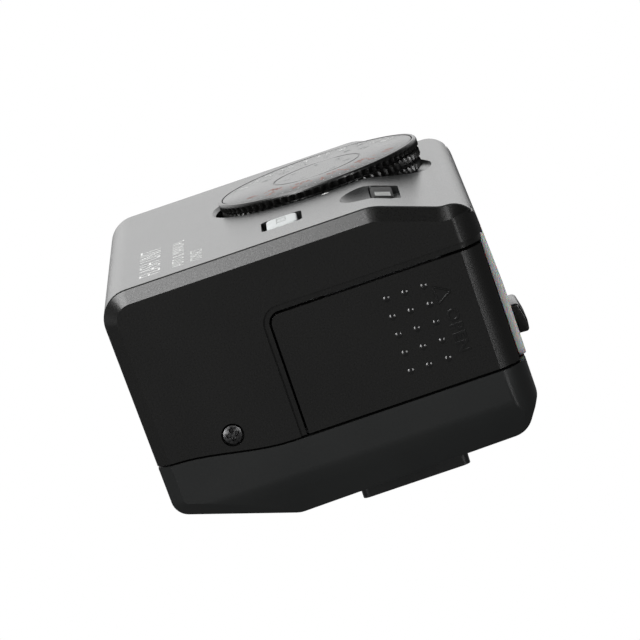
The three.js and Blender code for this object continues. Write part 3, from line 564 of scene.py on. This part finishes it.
def screws():
    """Cross-recessed screws: a low dome whose height drops inside a cross, turned with its rim,
    its underside and its shank in one closed surface. The cross is given in shares of the
    head's radius."""
    arm_half, arm_fade, arm_end, end_fade, deepest = 0.2, 0.05, 0.66, 0.1, 0.42
    head_tall, spare, shank_share = 0.8, 0.05, 0.62

    def head(radius, tall, shank, long):
        top = np.linspace(0, 1, 22)
        profile = [(radius * 0.94 * r, tall - 0.16 * r * r) for r in top]
        profile += [(radius, tall - 0.26), (radius, 0), (shank, -0.02), (shank, -long), (0, -long)]

        def recess(r, h, angle):
            x, y = np.abs(r * np.cos(angle)), np.abs(r * np.sin(angle))
            narrow, far = np.minimum(x, y), np.maximum(x, y)
            arm = np.clip((arm_half * radius - narrow) / (arm_fade * radius), 0, 1)
            end = np.clip((arm_end * radius - far) / (end_fade * radius), 0, 1)
            depth = deepest * radius * arm * end * (1 - 0.45 * far / radius)
            return 0 * r, np.where(h > tall - 0.2, -depth, 0)
        return turned(profile, (0, 0, 0), segments=96, push=recess)

    ways = {"-x": ((0, 1, 0), (0, 0, 1), (-1, 0, 0)), "+x": ((0, 1, 0), (0, 0, 1), (1, 0, 0)),
            "-z": ((1, 0, 0), (0, 1, 0), (0, 0, -1))}
    settings = [("side_screw_door", "-x"), ("side_screw_plain", "+x"),
                ("bottom_screw_1", "-z"), ("bottom_screw_2", "-z")]
    settings += [(f"foot_screw_{i}", "-z") for i in (1, 2, 3, 4)]
    for name, way in settings:
        low, high = node_box(name)
        size, middle = high - low, (low + high) / 2
        axis = 0 if way[1] == "x" else 2
        radius = size[1] / 2
        long = size[axis] - head_tall - spare
        seat = middle.copy()
        seat[axis] = low[axis] + head_tall if way[0] == "-" else high[axis] - head_tall
        part = laid(head(radius, head_tall, shank_share * radius, long), seat, *ways[way])
        dress(piece_of(name + "_turned", [part]), "root", "dark_screw", [name])


# ------------------------------------------------------------------ controls

def dial():
    """Knurled knob in three tiers, scale face and printed numbers. The teeth are a triangle
    wave in the radius, each tier half a tooth on from the next, and fade out towards the rim."""
    tooth_depth, ring = 0.75, 5.7
    narrow_sign, wide_sign = 0.18, 0.6      # widths of printed signs, in shares of the height
    low, high = node_box("dial_knob")
    centre = (*((low + high) / 2)[:2], 0)
    top, r = high[2], (high[0] - low[0]) / 2
    inner = [(0, 0.4, 0), (12.68, 0.4, 0), (12.7, 0.05, 0), (12.74, 0, 0)]
    rim = [(r - 0.3, 0, 0), (r - 0.18, 0.03, 0), (r - 0.04, 0.2, 0), (r, 0.36, 0),
           (r, 0.5, 0.12), (r, 0.75, 0.65), (r, 1.06, 1.0), (r - 0.3, 1.2, 0.8),
           (r - 0.7, 1.22, 0), (r - 0.7, 1.3, 0)]
    tiers = []
    for tier, edge in ((1, r - 0.1), (2, r - 0.3)):
        down = tier * TIER_PITCH
        tiers += [(edge - 0.25, down + 0.04, 0.2), (edge, down + 0.28, 0.9),
                  (edge, down + 0.95, 1.0), (edge - 0.3, down + 1.18, 0.7),
                  (r - 0.75, down + 1.22, 0), (r - 0.75, down + 1.3, 0)]
    rows = np.array(inner + rim + tiers + [(0, 3 * TIER_PITCH, 0)])
    weight = rows[:, 2][:, None]
    shift = 0.5 * np.floor(rows[:, 1] / TIER_PITCH)[:, None]

    def teeth(radius, height, angle):
        phase = angle * TEETH / (2 * math.pi) + shift
        ridge = 1 - np.abs(2 * (phase - np.floor(phase)) - 1)
        return -tooth_depth * weight * ridge, 0 * height
    profile = np.stack([rows[:, 0], top - rows[:, 1]], -1)
    grip = turned(profile, centre, segments=TEETH * 8, push=teeth)
    dress(piece_of("dial_grip", [grip], 24), "dial", "satin_black", ["dial_knob"])

    level = top - 0.02
    ink_level = level - DIAL_INK["sunk"]
    plate = [(0, top - 0.36), (12.56, top - 0.36), (12.6, top - 0.2), (12.56, level - 0.04),
             (12.48, level), (ring + 0.16, level), (ring + 0.05, level - 0.12),
             (ring - 0.05, level - 0.12), (ring - 0.16, level), (3.0, level), (0, level)]
    face = turned(plate, centre, segments=128)
    dress(piece_of("dial_scale_plate", [face], 30), "dial", "plate_black",
          ["dial_face"])
    marks = {"white_print": [], "orange_print": [], "grey_print": []}

    def around(words, radius, height, start, end, colour):
        for word, degrees in zip(words, np.linspace(start, end, len(words))):
            width = height * sum(narrow_sign if sign in "1." else wide_sign for sign in word)
            points, faces = fitted(word, width, height, DIAL_INK["thick"])
            points[:, 0] -= width / 2
            angle = math.radians(degrees)
            out = np.array([math.cos(angle), math.sin(angle), 0])
            side = np.array([out[1], -out[0], 0])
            origin = np.array([*centre[:2], ink_level]) + out * radius
            marks[colour].append(laid((points, faces), origin, side, out, (0, 0, 1)))

    def ticks(count, near, far, start, end, colour, wide=0.14):
        for degrees in np.linspace(start, end, count):
            bar = rounded_rectangle(near, far, -wide / 2, wide / 2, 0.05, 30)
            angle = math.radians(degrees)
            out = (math.cos(angle), math.sin(angle), 0)
            side = (-out[1], out[0], 0)
            part = slab(bar, 0, DIAL_INK["thick"], DIAL_INK["edge"], steps=1)
            marks[colour].append(laid(part, (*centre[:2], ink_level), out, side, (0, 0, 1)))

    around(["1", "1.4", "2", "2.8", "4", "5.6", "8", "11", "16", "22"], 10.2, 1.3, 62, -62,
           "white_print")
    around(["32", "22", "16", "11", "8", "5.6"], 7.8, 1.0, 52, -52, "grey_print")
    around(["0.7", "1", "1.5", "2", "3", "5", "10"], 9.6, 1.3, 244, 122, "orange_print")
    around(["100", "200", "400", "800"], 7.3, 1.1, 226, 134, "orange_print")
    around(["1", "2", "4", "8", "16", "32", "64"], 3.6, 0.85, 150, -150, "grey_print")
    ticks(19, 11.8, 12.2, 64, -64, "grey_print")
    ticks(25, 11.3, 11.9, 248, 118, "grey_print")
    ticks(13, 8.8, 9.2, 236, 130, "orange_print", 0.2)
    for colour, parts in marks.items():
        dress(piece_of("dial_" + colour.replace("_print", "_marks"), parts, 30), "dial", colour)
    low, high = node_box("dial_spindle")
    spindle = [(0, low[2]), (2.3, low[2]), (2.5, low[2] + 0.2), (2.5, high[2]), (0, high[2])]
    dress(piece_of("dial_shaft", [turned(spindle, centre)]), "dial", "bright_metal",
          ["dial_spindle"])


def top_plate_print():
    """Plain words on the top plate, and the dial's index mark."""
    right, up, out = (1, 0, 0), (0, 1, 0), (0, 0, 1)
    level = TOP_Z - INK["sunk"]
    index_x, index_y = -8.3, -0.7
    words = [("FLASH UNIT", -26.4, 20.7, 20.4, 2.7), ("AUTO & MANUAL", -26.9, 17.7, 20.3, 1.5),
             ("COMPACT", -26.6, 15.4, 8.1, 1.5)]
    parts = [laid(fitted(text, width, height, INK["thick"]), (x, y, level), right, up, out)
             for text, x, y, width, height in words]
    wedge = np.array([(-0.5, 0.0), (0.0, -0.8), (0.5, 0.0)])
    parts.append(laid(slab(wedge, 0, INK["thick"], INK["edge"], steps=1),
                      (index_x, index_y, level), (0, 1, 0), (-1, 0, 0), out))
    dress(piece_of("top_plate_print", parts, 30), "root", "white_print")


def test_button():
    """Pale cap with a crowned top over its flange, and the small word on it."""
    low, high = node_box("lamp_button")
    x0, x1, y0, y1, top = -22.2, -15.2, 3.25, 7.15, high[2]
    crown, word_long, word_tall, word_x, word_y = 0.12, 3.8, 1.3, -20.6, 4.55
    cap = slab(rounded_rectangle(x0, x1, y0, y1, 0.8), low[2] + 0.2, top - crown, 0.28,
               crown=crown)
    flange = slab(rounded_rectangle(low[0], high[0], low[1], high[1], 0.3, 30), low[2],
                  low[2] + 0.45, 0.08, steps=2)
    dress(piece_of("test_button_cap", [cap, flange], 40), "test_button", "button_plastic",
          ["lamp_button"])
    word = laid(fitted("TEST", word_long, word_tall, 0.05), (word_x, word_y, top - 0.045),
                (1, 0, 0), (0, 1, 0), (0, 0, 1))
    dress(piece_of("test_button_print", [word], 30), "test_button", "grey_print")


def slider():
    """Slider knob with a sloping top, its stem, and slanted white strokes on the slope."""
    low, high = node_box("mode_slider")
    floor, back, front = 35.85, 37.75, 36.95
    y0, y1 = -8.7, -6.1
    first_x, stroke_pitch, stroke_sunk = -22.9, 0.85, 0.012
    profile = rounded_outline([(y0, floor, 0.1), (y1, floor, 0.1), (y1, back, 0.35),
                               (y0, front, 0.35)], 15)
    body = slab(profile, low[0], high[0], 0.16, "yzx")
    stem = slab(rounded_rectangle(-20.7, -18.4, -7.8, -7.0, 0.1, 30), low[2], 36.0, 0.03,
                steps=1)
    dress(piece_of("mode_slider_knob", [body, stem], 40), "mode_switch", "matte_black",
          ["mode_slider"])
    slope = np.array([0, y1 - y0, back - front])
    slope /= np.linalg.norm(slope)
    out = np.array([0, -slope[2], slope[1]])
    bar = np.array([(0.0, 0.3), (0.24, 0.3), (0.64, 2.2), (0.4, 2.2)])
    stroke = slab(bar, 0, INK["thick"], INK["edge"], steps=1)
    strokes = []
    for i in range(4):
        origin = np.array([first_x + stroke_pitch * i, y0, front]) - out * stroke_sunk
        strokes.append(laid(stroke, origin, (1, 0, 0), slope, out))
    dress(piece_of("mode_slider_strokes", strokes, 30), "mode_switch", "white_print")


# ------------------------------------------------------------------ light head

def wide_panel():
    """Milky flap: rows from its lower edge up, each as wide as the flap is at that height with
    its lower corners round, the front face rippled by a cosine across and leaning back towards
    the hinge over its upper half, the rim rounded."""
    half, bottom, top, corner = 26.0, 13.85, 30.3, 1.2
    lean_z, low_front, top_front, back = 23.0, -17.8, -17.45, -16.85
    ripple, pitch, edge = 0.035, 1.3, 0.3
    hinge_y, hinge_z, bead_radius, bore_radius, tab_half = -17.0, 30.5, 0.45, 0.3, 3.85
    climb = np.concatenate([np.linspace(0, 1, 18) ** 1.6 * corner,
                            np.linspace(corner, top - bottom, 16)[1:]])
    z = bottom + climb
    drop = np.clip(corner - climb, 0, corner)
    reach = half - corner + np.sqrt(corner ** 2 - drop ** 2)
    across = np.concatenate([[-1], np.linspace(-0.996, 0.996, 320), [1]])
    x = reach[:, None] * across
    height = np.broadcast_to(z[:, None], x.shape)
    rim = np.minimum(np.minimum(reach[:, None] - np.abs(x), climb[:, None] + 0 * x),
                     (top - z)[:, None] + 0.3)
    turn = edge - np.sqrt(np.clip(edge ** 2 - np.clip(edge - rim, 0, edge) ** 2, 0, None))
    fade = np.clip((half - 1 - np.abs(x)) / 1.5, 0, 1) * np.clip(climb / 2, 0, 1)[:, None]
    fade = fade * np.clip((top - z) / 2, 0, 1)[:, None]
    front = np.interp(z, [lean_z, top], [low_front, top_front])[:, None]
    front_y = front + turn + ripple * fade * (1 + np.cos(2 * math.pi * x / pitch))
    flap = sheet(np.stack([x, front_y, height], -1), np.stack([x, back - turn, height], -1))
    bead_profile = [(bore_radius, -half), (bead_radius, -half), (bead_radius, half),
                    (bore_radius, half), (bore_radius, -half)]
    bead = turned(bead_profile, (0, hinge_y, hinge_z), "x", 24)
    dress(piece_of("wide_panel_flap", [flap, bead], 40), "flip_panel", "milky_plastic",
          ["wide_panel"])
    tab = slab(rounded_outline([(-19.3, 12.5, 0.4), (-17.75, 12.6, 0.1), (-17.75, 16.35, 0.1),
                                (-18.95, 16.35, 0.6), (-19.5, 14.0, 2.6)], 8),
               -tab_half, tab_half, 0.25, "yzx")
    dress(piece_of("wide_panel_pull", [tab], 40), "flip_panel", "satin_black",
          ["wide_panel_tab"])


def lens():
    """Clear window: a saw-tooth across its height on the front, turned over at mid height, and
    a shallow wave across its width on the back, both fading to a plain rim."""
    low, high = node_box("fresnel_lens")
    rows, columns = 161, 81
    tooth_pitch, tooth_deep, wave_pitch, wave_deep, inset = 0.8, 0.3, 2.2, 0.06, 0.02
    z = np.linspace(low[2], high[2], rows)[:, None] + np.zeros((1, columns))
    x = np.linspace(low[0], high[0], columns)[None] + np.zeros((rows, 1))
    rim = np.minimum(np.minimum(x - low[0], high[0] - x), np.minimum(z - low[2], high[2] - z))
    fade = np.clip((rim - 0.4) / 0.3, 0, 1)
    middle = (low[2] + high[2]) / 2
    step = np.abs(z - middle) / tooth_pitch
    saw = tooth_deep * (1 - (step - np.floor(step)))
    front = low[1] + inset + fade * (tooth_deep - saw)
    wave = 1 + np.cos(2 * math.pi * x / wave_pitch)
    back = high[1] - inset - fade * wave_deep * wave
    pane = sheet(np.stack([x, front, z], -1), np.stack([x, back, z], -1))
    dress(piece_of("fresnel_window", [pane], 20), "root", "clear_plastic",
          ["fresnel_lens"])


def flash_tube():
    """Glass tube with drawn-down ends, turned round X."""
    low, high = node_box("flash_tube")
    middle = (low + high) / 2
    half = (high[0] - low[0]) / 2
    r = (high[2] - low[2]) / 2
    profile = [(0, -half), (0.35, -half), (0.5, -half + 0.6), (r, -half + 2.0), (r, half - 2.0),
               (0.5, half - 0.6), (0.35, half), (0, half)]
    glass = turned(profile, middle, "x", 32)
    dress(piece_of("flash_tube_glass", [glass]), "root", "tube_glass",
          ["flash_tube"])


# ------------------------------------------------------------------ battery compartment

def cells():
    """Two cells: a crimped base, a rolled shoulder and a button, turned round X."""
    for name, sign in (("cell_front", 1), ("cell_rear", -1)):
        low, high = node_box(name)
        middle = (low + high) / 2
        half = (high[0] - low[0]) / 2
        r = (high[2] - low[2]) / 2
        profile = [(0, -half + 0.15), (2.9, -half + 0.15), (3.1, -half), (r - 0.5, -half),
                   (r - 0.12, -half + 0.15), (r, -half + 0.5), (r, half - 1.9),
                   (r - 0.15, half - 1.45), (r - 0.8, half - 1.15), (r - 1.2, half - 1.2),
                   (2.1, half - 1.1), (1.9, half - 0.9), (1.9, half - 0.2), (1.7, half), (0, half)]
        profile = [(radius, sign * height) for radius, height in profile]
        can = turned(profile, middle, "x", 56)
        dress(piece_of(name + "_can", [can], 45), "root", "cell_jacket", [name])


def spring():
    """The rear cell's spring: a cone of round wire, two and a half turns."""
    low, high = node_box("spring_contact")
    middle = (low + high) / 2
    turns, small, widening, end_gap = 2.5, 1.85, 2.0, 0.2
    share = np.linspace(0, 1, 140)
    angle = share * turns * 2 * math.pi
    radius = small + widening * share
    x = low[0] + end_gap + (high[0] - low[0] - 2 * end_gap) * share
    path = np.stack([x, middle[1] + radius * np.cos(angle), middle[2] + radius * np.sin(angle)],
                    -1)
    dress(piece_of("spring_wire", [tube(path, 0.19)]), "root", "bright_metal",
          ["spring_contact"])


def shoe_contacts():
    """Gold contacts in the foot, each with a domed tip."""
    low, high = node_box("centre_contact")
    profile = [(0, low[2]), (0.7, low[2] + 0.03), (1.2, low[2] + 0.16), (1.45, low[2] + 0.42),
               (1.5, low[2] + 0.7), (1.5, 1.5), (1.4, 1.6), (1.0, 1.62), (1.0, high[2]),
               (0, high[2])]
    middle = (low + high) / 2
    tip = turned(profile, (*middle[:2], 0), segments=40)
    dress(piece_of("centre_contact_tip", [tip]), "centre_contact", "gold_contact",
          ["centre_contact"])
    for i in (1, 2, 3, 4):
        name = f"contact_pin_{i}"
        low, high = node_box(name)
        profile = [(0, low[2]), (0.3, low[2] + 0.03), (0.48, low[2] + 0.14),
                   (0.55, low[2] + 0.34), (0.55, high[2]), (0, high[2])]
        middle = (low + high) / 2
        pin = turned(profile, (*middle[:2], 0), segments=28)
        dress(piece_of(name + "_tip", [pin]), name, "gold_contact", [name])


def remaining_nodes():
    """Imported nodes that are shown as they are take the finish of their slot."""
    slots = {
        "bright_metal": ["panel_hinge_rod", "reflector", "plate_contact", "door_hinge_pin",
                         "tact_switch", "slide_switch"],
        "silicone": ["tube_boot_left", "tube_boot_right"],
        "circuit_board": ["main_board", "control_board"],
        "copper_wire": ["transformer_winding", "trigger_coil"],
        "ferrite": ["transformer_core"],
        "capacitor_sleeve": ["main_capacitor"],
        "inner_plastic": ["dial_encoder"],
        "sensor_plastic": ["sensor_window"],
    }
    for slot, names in slots.items():
        for name in names:
            mesh = NODES[name].data
            mesh.materials.clear()
            mesh.materials.append(FINISH[slot])


# ------------------------------------------------------------------ stage

def aim_camera():
    """Camera at its azimuth, elevation and roll; returns its right and back directions."""
    azimuth, elevation, roll = (math.radians(CAMERA[key])
                                for key in ("azimuth", "elevation", "roll"))
    back = Vector((math.sin(azimuth) * math.cos(elevation),
                   -math.cos(azimuth) * math.cos(elevation), math.sin(elevation)))
    level = Vector((math.cos(azimuth), math.sin(azimuth), 0))
    upright = back.cross(level)
    right = math.cos(roll) * level - math.sin(roll) * upright
    up = math.sin(roll) * level + math.cos(roll) * upright
    data = bpy.data.cameras.new("camera")
    data.lens = CAMERA["lens"]
    data.sensor_width = CAMERA["sensor"]
    data.clip_start = 0.05
    data.clip_end = 10
    camera = bpy.data.objects.new("camera", data)
    bpy.context.scene.collection.objects.link(camera)
    turn = Matrix((right, up, back)).transposed().to_4x4()
    camera.matrix_world = Matrix.Translation(CAMERA["place"]) @ turn
    bpy.context.scene.camera = camera
    return right, back


def softbox(name, towards, distance, width, height, power):
    """A rectangular light seen from the object in the direction towards, facing it."""
    data = bpy.data.lights.new(name, "AREA")
    data.shape = "RECTANGLE"
    data.size, data.size_y = width, height
    data.energy = power
    light = bpy.data.objects.new(name, data)
    bpy.context.scene.collection.objects.link(light)
    middle = Vector(((CAD_BOX[0] + CAD_BOX[1]) / 2))
    towards = Vector(towards).normalized()
    light.matrix_world = (Matrix.Translation(middle + towards * distance)
                          @ towards.to_track_quat("Z", "Y").to_matrix().to_4x4())


def stage(right, back):
    """Pale floor, a bright sweep behind the object, an overhead softbox and two strips. The
    camera sees floor and sweep as plain white; the object is lit by dimmer ones."""
    sweep_glow = {"low": 0.02, "high": 1.5, "start": 0.15, "end": 0.8}
    floor_glow, reach, strip_angle = 0.13, 6.0, math.radians(32)
    world = bpy.data.worlds.new("studio")
    bpy.context.scene.world = world
    world.use_nodes = True
    shade = world.node_tree.nodes["Background"]
    way = node(world, "ShaderNodeTexCoord").outputs["Generated"]
    bright_side = (Vector((0, 0.3, 0)) - back).normalized()
    behind = node(world, "ShaderNodeVectorMath", {0: way, 1: tuple(bright_side)},
                  operation="DOT_PRODUCT").outputs["Value"]
    sweep = spread(world, behind, **sweep_glow)
    seen = node(world, "ShaderNodeLightPath").outputs["Is Camera Ray"]
    glow = node(world, "ShaderNodeMix", {0: seen, 2: sweep, 3: 1.0}, data_type="FLOAT")
    world.node_tree.links.new(glow.outputs[0], shade.inputs["Strength"])
    shade.inputs["Color"].default_value = (1, 1, 1, 1)

    mesh = bpy.data.meshes.new("floor")
    mesh.from_pydata([(-reach, -reach, 0), (reach, -reach, 0), (reach, reach, 0),
                      (-reach, reach, 0)], [], [(0, 1, 2, 3)])
    floor = bpy.data.objects.new("floor", mesh)
    bpy.context.scene.collection.objects.link(floor)
    paper = bpy.data.materials.new("pale_paper")
    paper.use_nodes = True
    tree = paper.node_tree
    tree.nodes.remove(tree.nodes["Principled BSDF"])
    glow = node(paper, "ShaderNodeMix", {0: node(paper, "ShaderNodeLightPath").outputs[0],
                                         2: floor_glow, 3: 1.0}, data_type="FLOAT")
    light = node(paper, "ShaderNodeEmission", {"Strength": glow.outputs[0]})
    tree.links.new(light.outputs[0], tree.nodes["Material Output"].inputs["Surface"])
    mesh.materials.append(paper)

    softbox("overhead", (-0.16, 0.3, 0.94), 0.7, 0.35, 0.4, 4.5)
    for name, side in (("strip_right", strip_angle), ("strip_left", -strip_angle)):
        softbox(name, back * math.cos(side) + right * math.sin(side), 1.2, 0.16, 0.7, 9)
    bpy.context.scene.view_settings.view_transform = "Standard"


casing()
door_marks()
screws()
dial()
top_plate_print()
test_button()
slider()
wide_panel()
lens()
flash_tube()
cells()
spring()
shoe_contacts()
remaining_nodes()
stage(*aim_camera())
